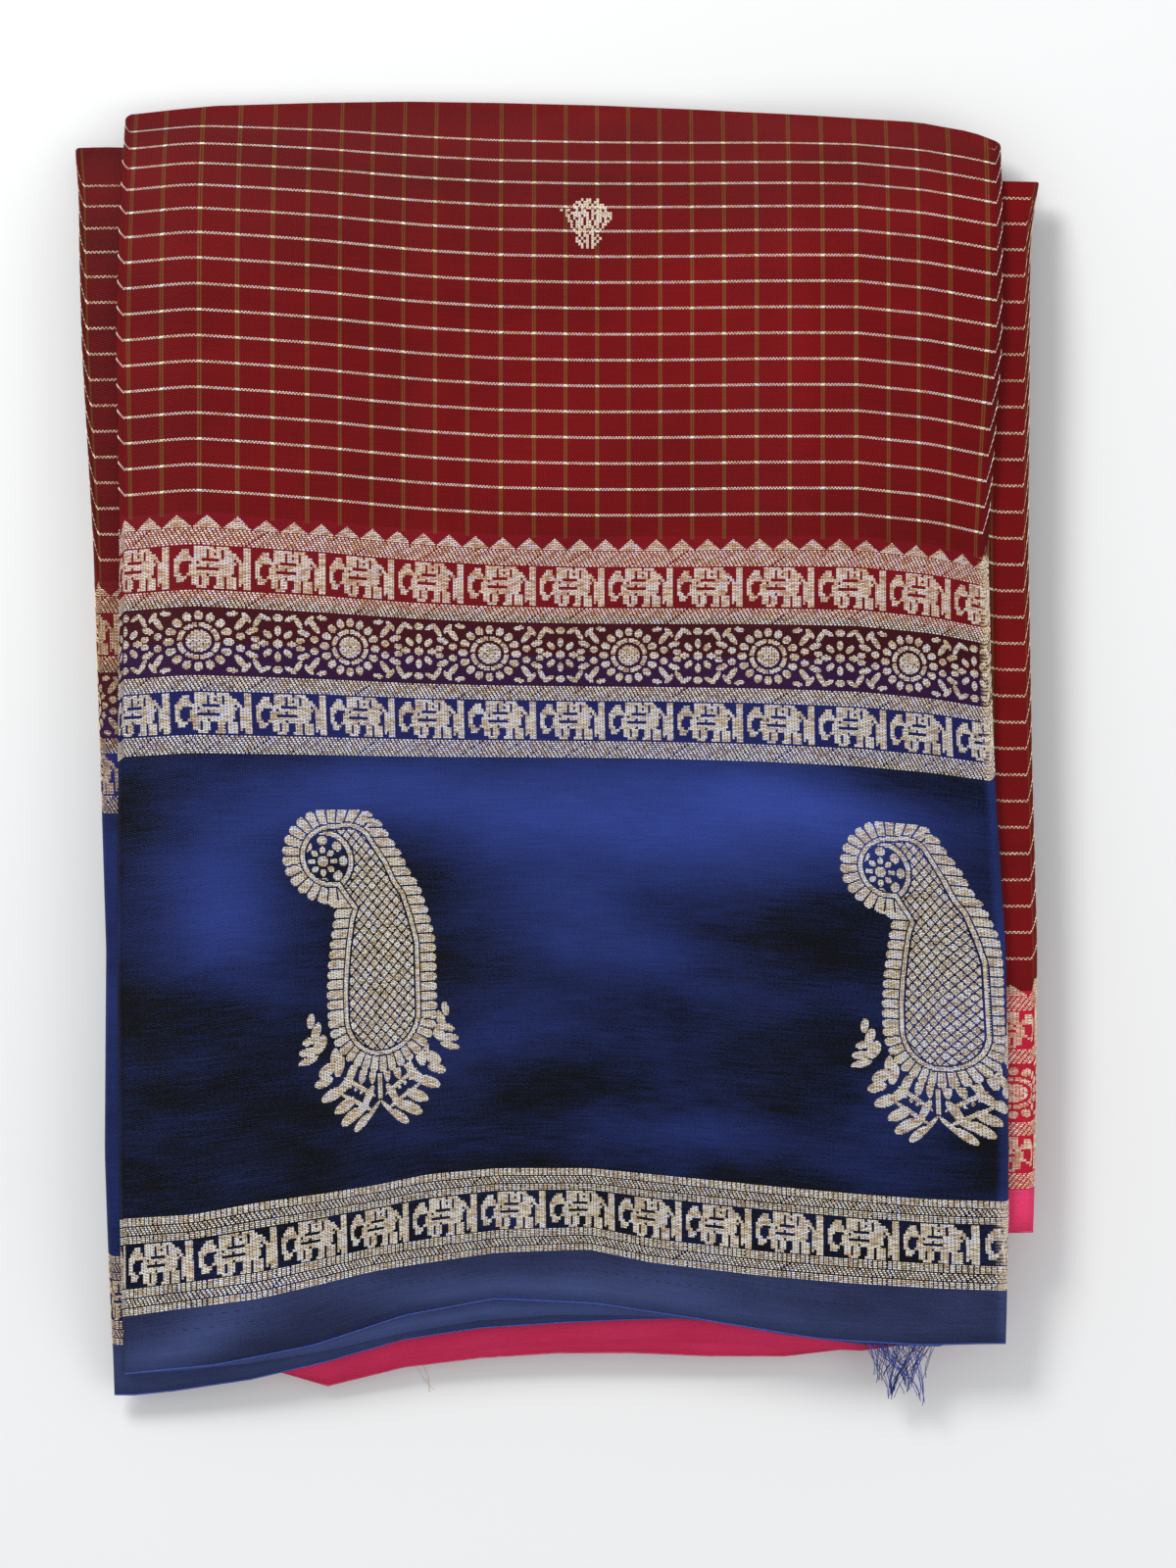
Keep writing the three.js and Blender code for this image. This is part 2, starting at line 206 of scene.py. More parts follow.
def height(panel, half, x, y):
    """Height of the middle of a layer, before the relief of its own face."""
    slot = slot_of(panel, half)
    share = np.clip((x - FLAP["space_from"]) / (FLAP["space_to"] - FLAP["space_from"]), 0, 1)
    under = 0
    for step in SOFTEN:
        steady = np.interp(y + step, BEND_LINES, STEADY[slot])
        flap = np.interp(y + step, BEND_LINES, FLAP_COUNT[slot])
        under = under + (steady + flap * smooth(share)) / len(SOFTEN)
    press = CLOTH["edge_press"] * np.clip((abs(x) - PRESS_FROM) / (PRESS_TO - PRESS_FROM), 0, 1)
    droop = STRIP_DROOP["drop"] * np.clip((abs(x) - STRIP_DROOP["from"]) / STRIP_DROOP["reach"], 0, None) ** 2
    return CLOTH["base"] + CLOTH["pitch"] * (1 - press) * under - droop


# Soft creases and swells of the front face: X, Y, half sizes, turn in degrees and lift
SWELLS = [
    [-62, 150, 9, 130, 0, 0.8],
    [-74, 150, 5, 120, 0, -0.5],
    [121, 190, 8, 110, 2, 0.7],
    [111, 190, 5, 100, 2, -0.4],
    [-88, -160, 9, 150, -2, 1.0],
    [-79, -170, 5, 130, -2, -0.6],
    [-120, -20, 46, 26, 24, 1.0],
    [40, -36, 90, 22, -6, 1.2],
    [150, -60, 40, 30, 32, 1.0],
    [20, -110, 70, 26, 14, 0.9],
    [110, -150, 60, 24, -20, 0.9],
    [-150, -110, 40, 40, 40, 0.9],
    [-30, -180, 50, 22, 10, 0.8],
    [-130, 210, 60, 40, 12, 0.8],
    [60, 230, 90, 26, -8, 0.8],
    [-180, -275, 26, 10, -35, 0.9],
    [-160, -292, 40, 6, 18, 0.8],
]
RELIEF = {"base": 1.5, "edge": 26, "crest": 22, "hem": 14, "ripple": 0.10, "least": 0.05}


def patches(table, x, y):
    """Sum of a table's soft oval patches at these places."""
    total = np.zeros(np.shape(x + y))
    for centre_x, centre_y, size_x, size_y, degrees, amount in table:
        turn = math.radians(degrees)
        a = (x - centre_x) * math.cos(turn) + (y - centre_y) * math.sin(turn)
        b = (y - centre_y) * math.cos(turn) - (x - centre_x) * math.sin(turn)
        total = total + amount * np.exp(-((a / size_x) ** 2) - (b / size_y) ** 2)
    return total


def relief(x, y):
    """How far the front face stands off the layer below it. It is never under zero."""
    lift = RELIEF["base"] + patches(SWELLS, x, y)
    lift = lift + RELIEF["ripple"] * (np.sin(x / 7.3 + y / 31) + np.sin(y / 9.1 - x / 23))
    from_edge = np.minimum(x - line_at(ALONG, EDGE_LINES["front_left"], y),
                           line_at(ALONG, EDGE_LINES["front_right"], y) - x)
    from_crest = line_at(ACROSS, FRONT_TIP, x) - y
    fade = smooth((from_edge - 5) / RELIEF["edge"]) * smooth(from_crest / RELIEF["crest"])
    at_hem = mix(0.35, 1, smooth((y - line_at(ACROSS, HEM_LINES["blue", 1], x)) / RELIEF["hem"]))
    return np.maximum(lift, RELIEF["least"]) * fade * at_hem


# The weave on the cloth: how v and u lie on a station
def crest_v(panel, x):
    """v at the fold of the width."""
    if panel in (1, 3):
        start = line_at(ROW_X, ROW_LINES[BODY_FROM], x) if panel == 1 else LEFT_STRIP_ROWS[BODY_FROM]
        return BODY_FROM + float(np.interp(tip_y(panel, x) - start, CREST_SEEN, CREST_CLOTH))
    blue = tip_y(panel, x) - hem_y(panel, "blue", x)
    red = tip_y(panel, x) - hem_y(panel, "red", x)
    return WIDTH * blue / (blue + red)


def blue_y(panel, x, v, crest, tip, hem):
    """Y of the cloth at v on a blue half."""
    if panel not in (1, 3):
        return mix(hem, tip, v / crest)
    if panel == 1:
        rows = {key: float(line_at(ROW_X, values, x)) for key, values in ROW_LINES.items()}
    else:
        shift = hem - TURNS[3]["blue"]
        rows = {key: y + shift * (1 - key / BODY_FROM) for key, y in LEFT_STRIP_ROWS.items()}
    low = np.interp(v, [0, *rows], [hem, *rows.values()])
    high = tip - np.interp(crest - v, CREST_CLOTH, CREST_SEEN)
    return np.where(v < BODY_FROM, low, high)


def stations():
    """Places along the length, from the flap's free end to the inner end."""
    rows = [{"panel": 0, "kind": "flat", "x": FLAP["free_end"]}]
    for panel in range(LAST_PANEL + 1):
        side = 1 if panel % 2 == 0 else -1
        count = GRID["front"] if panel == 1 else GRID["panel"]
        if panel:
            for near in reversed(GRID["near"][:-1]):
                rows.append({"panel": panel, "kind": "near", "turn": TURNS[panel - 1], "share": near})
            for x in np.linspace(-side * FACE_LIMIT, side * FACE_LIMIT, count):
                rows.append({"panel": panel, "kind": "flat", "x": float(x)})
        if panel == LAST_PANEL:
            rows.append({"panel": panel, "kind": "flat", "x": LAST_EDGE["x"]})
            break
        for near in GRID["near"][:-1] if panel else GRID["near"][2:-1]:
            rows.append({"panel": panel, "kind": "near", "turn": TURNS[panel], "share": near})
        for i in range(GRID["turn"] + 1):
            rows.append({"panel": panel, "kind": "turn", "turn": TURNS[panel], "share": i / GRID["turn"]})
    return rows


def place(station, half, y):
    """X and Z of one half of a station, at each y."""
    panel = station["panel"]
    if station["kind"] == "flat":
        x = np.full(np.shape(y), station["x"])
    else:
        turn = station["turn"]
        first = TURNS.index(turn)
        outer = (half == "blue") == (first == 0 or first % 2 == 1)
        from_tip = np.clip((turn["tip"] - y) / (turn["tip"] - turn["red"]), 0, 1)
        inwards = turn["set_in"] * from_tip + CLOTH["pitch"]
        edge = edge_x(turn, y) - turn["side"] * (0 if outer else inwards)
        from_z = height(first, half, edge, y)
        to_z = height(first + 1, half, edge, y)
        arm = (from_z - to_z) / 2
        reach = abs(arm) + TURN_EASING
        if station["kind"] == "turn":
            angle = math.pi * (0.5 - station["share"])
            x = edge - turn["side"] * reach * (1 - math.cos(angle))
            return x, (from_z + to_z) / 2 + arm * math.sin(angle)
        start = turn["side"] * FACE_LIMIT
        x = mix(start, edge - turn["side"] * reach, station["share"])
    z = height(panel, half, x, y)
    if panel == 1 and half == "blue":
        z = z + relief(x, y)
    return x, z


def station_row(station):
    """Points, and v, all the way across the width at one station."""
    if station["kind"] == "flat":
        x = station["x"]
        blend = [(station["panel"], 1.0)]
    else:
        x = float(edge_x(station["turn"], 0))
        first = TURNS.index(station["turn"])
        share = station["share"] if station["kind"] == "turn" else float(station["panel"] != first)
        blend = [(first, 1 - share), (first + 1, share)]
        if station["kind"] == "near":
            x = mix(station["turn"]["side"] * FACE_LIMIT, x, station["share"])
    tip = sum(part * float(tip_y(panel, x)) for panel, part in blend)
    crest = sum(part * crest_v(panel, x) for panel, part in blend)
    hems = {}
    for half in ("blue", "red"):
        hems[half] = sum(part * float(hem_y(panel, half, x)) for panel, part in blend)
    v_blue = np.linspace(0, 1, GRID["blue"]) * (crest - 1)
    y_blue = 0
    for panel, part in blend:
        y_blue = y_blue + part * blue_y(panel, x, v_blue, crest, tip - CREST_BULGE, hems["blue"])
    share = np.linspace(0, 1, GRID["red"]) ** 0.9
    v_red = mix(crest + 1, WIDTH, share)
    y_red = mix(tip - CREST_BULGE, hems["red"], share)
    x_blue, z_blue = place(station, "blue", y_blue)
    x_red, z_red = place(station, "red", y_red)
    blue = np.stack([x_blue, y_blue, z_blue], 1)
    red = np.stack([x_red, y_red, z_red], 1)
    middle = (blue[-1] + red[0]) / 2
    arm = (blue[-1] - red[0]) / 2
    rows = [blue]
    for i in range(1, GRID["crest"]):
        angle = math.pi * (0.5 - i / GRID["crest"])
        point = middle + arm * math.sin(angle)
        point[1] += CREST_BULGE * math.cos(angle)
        rows.append(point[None])
    rows.append(red)
    v_crest = crest + np.linspace(-1, 1, GRID["crest"] + 1)[1:-1]
    return np.concatenate(rows), np.concatenate([v_blue, v_crest, v_red])


def pillar_x(x, pillars):
    """u at x on the front, from the first pillar."""
    ends = [pillars[0] - UNIT, *pillars, pillars[-1] + UNIT]
    inside = np.interp(x, ends, np.arange(-1, len(pillars) + 1))
    return inside * UNIT + x - np.clip(x, ends[0], ends[-1])


class Cloth:
    """Points of every station, with u and v at each."""

    def __init__(self):
        self.rows = stations()
        built = [station_row(station) for station in self.rows]
        self.points = np.array([points for points, _ in built])
        self.v = np.array([v for _, v in built])
        middle = self.points[:, GRID["blue"] // 2]
        steps = np.linalg.norm(np.diff(middle, axis=0), axis=1)
        length = np.concatenate([[0], np.cumsum(steps)])
        self.panel = np.array([row["panel"] for row in self.rows])
        first = int(np.argmax((self.panel == 1) & (middle[:, 0] < 0)))
        flat_x = middle[first, 0] - (length - length[first])
        upper = pillar_x(flat_x, UPPER_PILLARS)
        lower = pillar_x(flat_x, LOWER_PILLARS)
        share = np.clip((self.v - LOWER_V) / (UPPER_V - LOWER_V), 0, 1)
        self.u = mix(lower[:, None], upper[:, None], share)
        du = np.gradient(self.points, axis=0)
        dv = np.gradient(self.points, axis=1)
        normal = np.cross(dv, du)
        self.normal = normal / np.maximum(np.linalg.norm(normal, axis=2, keepdims=True), 1e-9)

    def span_of(self, panel, turns, faces=True):
        """First and last station of a panel with half of the turns named, or without its flat stretch."""
        inside = []
        for i, row in enumerate(self.rows):
            turn = TURNS.index(row["turn"]) if "turn" in row else None
            if row["kind"] == "turn" and turn in turns:
                own_half = row["share"] <= 0.5 if turn == panel else row["share"] >= 0.5
                if own_half:
                    inside.append(i)
            elif row["panel"] == panel and (faces or (row["kind"] == "near" and turn in turns)):
                inside.append(i)
        return min(inside), max(inside)

    def at_row(self, v, span):
        """u, points and normals of the stations in span, where the cloth's v is this."""
        found = []
        for i in range(span[0], span[1] + 1):
            columns = [np.interp(v, self.v[i], self.points[i, :, k]) for k in range(3)]
            normals = [np.interp(v, self.v[i], self.normal[i, :, k]) for k in range(3)]
            found.append([np.interp(v, self.v[i], self.u[i]), *columns, *normals])
        found = np.array(found)
        return found[np.argsort(found[:, 0])]


# Colours, as hexadecimal sRGB
def colour(code, alpha=1.0):
    channels = [int(code[i:i + 2], 16) / 255 for i in (0, 2, 4)]
    linear = [c / 12.92 if c <= 0.04045 else ((c + 0.055) / 1.055) ** 2.4 for c in channels]
    return (*linear, alpha)


# Ground of the cloth by v: name, where it starts, colour in painted shade, colour in painted light, roughness
GROUNDS = [
    ["blue hem", 0, "242a4a", "505f96", 0.6],
    ["blue satin", 30, "04060b", "34479a", 0.42],
    ["upper blue border", BORDER_FROM, "14184a", "34388a", 0.45],
    ["purple flowers", 340, "260c2e", "47194e", 0.42],
    ["maroon flowers", 362, "2c0710", "571020", 0.42],
    ["red border", 382, "4c050c", "8f0d1c", 0.42],
    ["checked red", BODY_FROM, "3c0203", "86090f", 0.5],
    ["red border of the red side", BODY_TO, "86081c", "d0203e", 0.44],
    ["red hem", 1084, "c21e48", "fb4a7c", 0.7],
]
# Painted highlights and painted shade on the silk: X, Y, half sizes, turn in degrees and strength
PAINTED_LIGHT_PATCHES = [
    [-70, 290, 150, 30, -6, -0.16],
    [110, 215, 130, 46, 8, 0.14],
    [20, 150, 120, 40, 0, 0.1],
    [70, 200, 40, 60, 10, 0.08],
    [-62, 150, 6, 130, 0, 0.1],
    [121, 190, 6, 110, 2, 0.1],
    [30, -35, 110, 26, -6, 0.72],
    [120, -28, 66, 18, -14, 0.6],
    [-120, -24, 70, 18, 10, 0.4],
    [-165, -80, 32, 34, 38, 0.55],
    [20, -90, 66, 26, -20, 0.36],
    [-30, -140, 60, 18, 16, 0.2],
    [60, -190, 90, 14, -4, 0.22],
    [192, -150, 26, 50, -30, 0.3],
    [-190, -300, 50, 12, 30, 0.6],
    [0, -268, 90, 10, 0, 0.5],
    [100, -285, 90, 8, -6, 0.35],
]
BASE_TONE = {"blue": 0.05, "red": 0.5, "from": -5, "to": 110}
# Tone of the panels behind; the strip at the right is painted lighter, a painted highlight where it lies in
# the light
PANEL_TONES_AND_PAINTED_LIGHT = {2: 0.62, 3: 0.3}
DEFAULT_TONE = 0.34


def tone_and_painted_light_of(points, panel):
    """0 for silk in painted shade, up to 1 for a painted highlight where it catches the light, on the base
    tone of each ground and of the panels behind.
    """
    x, y = points[..., 0], points[..., 1]
    rise = smooth((y - BASE_TONE["from"]) / (BASE_TONE["to"] - BASE_TONE["from"]))
    tone_and_painted_light = mix(BASE_TONE["blue"], BASE_TONE["red"], rise)
    # Painted highlights and painted shade on the base tone
    tone_and_painted_light = tone_and_painted_light + patches(PAINTED_LIGHT_PATCHES, x, y)
    front = (panel == 1)[:, None]
    behind = np.array([PANEL_TONES_AND_PAINTED_LIGHT.get(int(k), DEFAULT_TONE) for k in panel])[:, None]
    return np.clip(np.where(front, tone_and_painted_light, behind), 0, 1)


def new_mesh(name, vertices, faces):
    mesh = bpy.data.meshes.new(name)
    mesh.from_pydata([tuple(p) for p in vertices], [], faces)
    mesh.update()
    return mesh


def add_object(name, mesh, material, smooth_faces=True):
    mesh.materials.append(material)
    if smooth_faces:
        mesh.polygons.foreach_set("use_smooth", [True] * len(mesh.polygons))
    obj = bpy.data.objects.new(name, mesh)
    bpy.context.collection.objects.link(obj)
    return obj


def in_frame(points):
    """Millimetres of the part's source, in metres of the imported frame."""
    return (np.asarray(points) + np.array(ORIGIN)) * MM


def add_float_attribute(mesh, name, values):
    layer = mesh.attributes.new(name, "FLOAT", "POINT")
    layer.data.foreach_set("value", np.asarray(values, float).ravel())


def make_cloth(cloth, material):
    """The sheet, with both faces and its four edges."""
    count = cloth.points.shape[:2]
    offset = cloth.normal * CLOTH["thickness"] / 2
    face, back = cloth.points + offset, cloth.points - offset
    vertices = np.concatenate([face.reshape(-1, 3), back.reshape(-1, 3)])
    vertices[:, 2] = np.maximum(vertices[:, 2], 0)
    index = np.arange(2 * count[0] * count[1]).reshape(2, *count)
    a, b = index
    sides = [
        (a[:-1, :-1], a[:-1, 1:], a[1:, 1:], a[1:, :-1]),
        (b[:-1, :-1], b[1:, :-1], b[1:, 1:], b[:-1, 1:]),
        (b[:-1, 0], a[:-1, 0], a[1:, 0], b[1:, 0]),
        (a[:-1, -1], b[:-1, -1], b[1:, -1], a[1:, -1]),
        (a[0, :-1], b[0, :-1], b[0, 1:], a[0, 1:]),
        (b[-1, :-1], a[-1, :-1], a[-1, 1:], b[-1, 1:]),
    ]
    quads = np.concatenate([np.stack(corners, -1).reshape(-1, 4) for corners in sides])
    mesh = new_mesh("silk", in_frame(vertices), quads.tolist())
    uv = np.tile(np.stack([cloth.u, cloth.v], -1).reshape(-1, 2), (2, 1)) * MM
    layer = mesh.uv_layers.new(name="Weave")
    layer.data.foreach_set("uv", uv[quads.ravel()].ravel())
    # Base tone with painted highlights and painted shade, per point
    tone_and_painted_light = tone_and_painted_light_of(cloth.points, cloth.panel).ravel()
    add_float_attribute(mesh, "tone_and_painted_light", np.tile(tone_and_painted_light, 2))
    dressed = np.tile(np.isin(cloth.panel, DRESSED_PANELS)[:, None], (1, count[1])).ravel()
    add_float_attribute(mesh, "dressed", np.concatenate([dressed, dressed]))
    return add_object("silk", mesh, material)


# Gold thread. A float is a short raised stretch of it. A pattern says where floats lie along a woven row.
FLOAT = {"sunk": -0.05, "rise": 0.3, "end": 0.3, "longest": 2.7, "gap": 0.24, "least": 0.35}
SAMPLE = 0.17


def runs_of(there, u):
    """Stretches of u where the pattern is there."""
    edges = np.flatnonzero(np.diff(np.concatenate([[0], there.astype(np.int8), [0]])))
    return [(u[a], u[b - 1] + SAMPLE) for a, b in zip(edges[::2], edges[1::2])]


def stretches(starts, length):
    return [(start, start + length) for start in starts]


def bound_runs(runs, row):
    """Long runs are tied down at gaps, which step from row to row as bricks do."""
    step = FLOAT["longest"]
    shift = row % 2 * step / 2
    for start, end in runs:
        at = start
        for k in range(math.ceil((start - shift) / step), math.ceil((end - shift) / step)):
            cut = k * step + shift
            if at + FLOAT["least"] < cut < end - FLOAT["least"]:
                yield at, cut - FLOAT["gap"] / 2
                at = cut + FLOAT["gap"] / 2
        if end - at > FLOAT["least"]:
            yield at, end


class Thread:
    """Collects floats on the cloth, and makes one mesh of them."""

    def __init__(self, cloth):
        self.cloth = cloth
        self.vertices = []
        self.tints = []

    def add_row(self, span, v, width, runs, tint=(0.0, 0.6), rise=None):
        if not runs:
            return
        rise = FLOAT["rise"] if rise is None else rise
        rows = [self.cloth.at_row(v + side * width / 2, span) for side in (-1, 0, 1)]
        runs = np.array(runs)
        end = np.minimum(FLOAT["end"], (runs[:, 1] - runs[:, 0]) / 3)
        lift = CLOTH["thickness"] / 2
        spots = [(side, runs[:, k], FLOAT["sunk"]) for side in (0, 2) for k in (0, 1)]
        spots += [(1, runs[:, 0] + end, rise), (1, runs[:, 1] - end, rise)]
        corners = []
        for side, u, up in spots:
            row = rows[side]
            point = np.stack([np.interp(u, row[:, 0], row[:, k]) for k in (1, 2, 3)], -1)
            normal = np.stack([np.interp(u, row[:, 0], row[:, k]) for k in (4, 5, 6)], -1)
            corners.append(point + normal * (lift + up))
        self.vertices.append(np.stack(corners, 1).reshape(-1, 3))
        self.tints.append(np.repeat([rng.uniform(*tint) for _ in range(len(runs))], len(spots)))

    def make(self, name, material):
        vertices = in_frame(np.concatenate(self.vertices))
        quads = []
        for k in range(0, len(vertices), 6):
            quads += [(k, k + 1, k + 5, k + 4), (k + 3, k + 2, k + 4, k + 5)]
            quads += [(k + 2, k, k + 4), (k + 1, k + 3, k + 5)]
        mesh = new_mesh(name, vertices, quads)
        add_float_attribute(mesh, "tint", np.concatenate(self.tints))
        return add_object(name, mesh, material, smooth_faces=False)


# Charted motifs. One unit of a border is a pillar and an elephant.
ELEPHANT = [
    "###..........########.#####......",
    "###.....###..#####.#####.###.....",
    "###....####..#####.##.##.#####...",
    "###...######.#####.#####.######..",
    "###..###########.......######.##.",
    "###..###....##.###############.##",
    "###..##....#######.##########..##",
    "###..##....###.........######..##",
    "###..##....##################..##",
    "###..###..########.#########...##",
    "###...####..###.###...###.####.##",
    "###...###...###.###...###.####.##",
    "###.........###.###...###.####.#.",
    "###...........####...####.####...",
]
SPRAY = [
    "........#.##..#.....",
    "......##.###.##.....",
    ".....#.####.#.###...",
    ".....##.#.##.#.###..",
    "#.##..#.##..#.##.#..",
    "..#.#######.########",
    "..##.###.##.#.######",
    "...#.#.##.#.#.##.#.#",
    "...##.###.##.###.##.",
    "....#.###.##.##.##..",
    "....#.##.####.#.#...",
    ".....#.###..##.#....",
    "......##.#.##.......",
    ".......#.##.#.#.....",
    "......#.#.#.##.#....",
    "......##.##.#.#.....",
    ".......##.#.##......",
    "........#.#.#.......",
]


def charted(chart, column, height_share):
    """Whether the chart has thread at these columns, at a share of its height from the bottom."""
    row = chart[int(np.clip((1 - height_share) * len(chart), 0, len(chart) - 1))]
    cells = np.array([mark == "#" for mark in row])
    index = np.floor(column).astype(int)
    return np.where((index >= 0) & (index < len(row)), cells[np.clip(index, 0, len(row) - 1)], False)


def elephants(u, share):
    return charted(ELEPHANT, (u % UNIT) / UNIT * len(ELEPHANT[0]), share)


def rope(u, row, lean=0.55, pitch=1.9):
    return ((u + row * lean) % pitch) < pitch * 0.66


def dashes(u, pitch=2.2, share=0.8):
    return (u % pitch) < pitch * share


def oval(a, b, centre_a, centre_b, degrees, length, breadth):
    turn = math.radians(degrees)
    along_it = (a - centre_a) * math.cos(turn) + (b - centre_b) * math.sin(turn)
    across_it = (b - centre_b) * math.cos(turn) - (a - centre_a) * math.sin(turn)
    return (along_it / (length / 2)) ** 2 + (across_it / (breadth / 2)) ** 2 < 1


# Leaves beside the flower, from its middle: u, v, turn, length and width. Each is there in all four corners.
FLOWER_LEAVES = [
    [17.5, 9.5, 55, 8, 3], [22.5, 6, 20, 6, 3], [20, 12.5, 130, 6, 2.6], [25, 11, 60, 7, 2.6],
    [17.5, 3, 0, 4, 3.4], [28.5, 13, 150, 6, 2.4], [14, 14, 10, 5, 2.4], [24, 2, 90, 3, 4],
]
STAR_PETALS = 8


def flowers(u, b):
    """Big round flowers two elephants apart, with small stars between. b is from the band's middle."""
    a = (u - UNIT * 0.45 + UNIT) % (2 * UNIT) - UNIT
    distance = np.hypot(a, b)
    angle = np.degrees(np.arctan2(b, a)) % 360
    seeds = ((a + b) % 2.6 < 0.6) & ((a - b) % 2.6 < 0.9)
    there = (distance < 5.4) & ~seeds
    there |= (distance > 6.9) & (distance < 9.1) & (angle % 45 > 5)
    for k in range(16):
        turn = math.radians(k * 22.5)
        there |= oval(a, b, 12.6 * math.cos(turn), 12.6 * math.sin(turn), k * 22.5, 4.6, 3.7)
    mirrored_a, mirrored_b = abs(a), abs(b)
    for leaf in FLOWER_LEAVES:
        there |= oval(mirrored_a, mirrored_b, *leaf)
    star = UNIT - mirrored_a
    there |= np.hypot(star, b) < 2.2
    for k in range(STAR_PETALS):
        turn = math.radians(k * 360 / STAR_PETALS)
        there |= oval(star, b, 6.6 * math.cos(turn), 6.6 * math.sin(turn), k * 360 / STAR_PETALS, 4.8, 3)
    there |= oval(star, mirrored_b, 0, 13, 0, 4.6, 3.6)
    return there


# Rows of the body's border, from the blue side to the tips: kind, lower and upper v
BORDER = [
    ["rope", BORDER_FROM, 317.2],
    ["elephants", 318, 338.2],
    ["rope", 338.8, 346.6],
    ["flowers", 347.2, 379.8],
    ["rope", 380.4, 388.8],
    ["elephants", 389.6, 410.4],
    ["rope", 411, 419.4],
    ["temple", 419.6, BODY_FROM],
]
BAND = [
    ["grid", 29.5, 33.2],
    ["rope", 33.6, 38],
    ["grid", 38.4, 43],
    ["elephants", 43.4, 65],
    ["grid", 65.6, 69.4],
    ["rope", 69.8, 74],
    ["grid", 74.4, 78.5],
]
ROW_PITCH = {"rope": 0.95, "elephants": 0.72, "flowers": 0.72, "temple": 0.8, "grid": 0.8}
TEMPLE_PITCH = 12.7


def band_row(kind, u, row, share, v, middle):
    if kind == "rope":
        return rope(u, row)
    if kind == "elephants":
        return elephants(u, share)
    if kind == "flowers":
        return flowers(u, v - middle)
    if kind == "temple":
        return abs((u % TEMPLE_PITCH) / TEMPLE_PITCH - 0.5) < 0.5 * (1 - share)
    return dashes(u + (row % 2) * 0.15)


def weave_bands(thread, span, bands, tint, place_v=lambda v: v, stretch=1.0):
    """Rows of floats for a list of bands."""
    for kind, lower, upper in bands:
        pitch = ROW_PITCH[kind]
        count = int((upper - lower) / pitch)
        for row in range(count):
            v = lower + (row + 0.5) * (upper - lower) / count
            weave_row(thread, span, place_v(v), pitch * stretch, row, tint,
                      lambda u: band_row(kind, u, row, (row + 0.5) / count, v, (lower + upper) / 2))


def weave_row(thread, span, v, pitch, row, tint, pattern, u_range=None):
    line = thread.cloth.at_row(v, span)
    low_u, high_u = u_range or (line[0, 0], line[-1, 0])
    u = np.arange(max(low_u, line[0, 0]), min(high_u, line[-1, 0]), SAMPLE)
    if len(u) < 3:
        return
    runs = list(bound_runs(runs_of(pattern(u), u), row))
    thread.add_row(span, v, pitch * 0.86, runs, tint)


# Paisley, drawn in its own units from circles along its spine: across, down and radius
PAISLEY = {"u_unit": 0.1072, "v_unit": 0.1158, "v": 182, "x": -86.2, "middle": 470, "middle_down": 900}
PAISLEY_BODY = [
    [255, 268, 225], [330, 250, 215], [400, 360, 215], [450, 450, 205], [482, 500, 207],
    [479, 600, 239], [481, 700, 259], [475, 800, 266], [470, 900, 270], [470, 1010, 270],
]
PAISLEY_RIM = {"outer": -4, "inner": -78, "line_from": -84, "line_to": -103, "lattice": -111, "petal": 46}
PAISLEY_LATTICE = {"pitch": 46, "dark": 0.17, "slope": 0.9}
PAISLEY_CURL = {"across": 212, "down": 292, "radius": 150, "petals": 8, "rings": [(50, 34, 26), (94, 40, 46)]}
# Base leaves, mirrored about the stem: across from it, down, turn, length and width
PAISLEY_LEAVES = [
    [285, 1120, 60, 92, 52], [335, 1150, 5, 92, 40], [340, 1188, 20, 96, 34], [255, 1238, 35, 96, 52],
    [275, 1292, 20, 88, 44], [200, 1225, 75, 104, 46], [236, 1352, 25, 116, 52], [180, 1410, 30, 118, 52],
    [150, 1462, 35, 124, 50], [96, 1496, 42, 110, 40], [215, 1168, 60, 80, 40], [140, 1258, 62, 104, 40],
    [84, 1272, 74, 96, 38], [36, 1276, 86, 96, 34],
    [300, 1060, 70, 84, 40], [322, 1010, 80, 70, 34], [108, 1196, 80, 90, 36], [52, 1204, 86, 90, 34],
    [176, 1316, 40, 100, 44], [104, 1440, 38, 110, 40], [60, 1380, 60, 110, 36], [330, 1100, 20, 70, 34],
]
PAISLEY_BANDS = [[105, 1330, -33, 190, 22], [120, 1400, -31, 210, 20], [52, 1462, 48, 150, 22]]
PAISLEY_DOTS = {"across": 70, "down": 1372, "step": 27, "fall": -15, "count": 5, "size": 17}


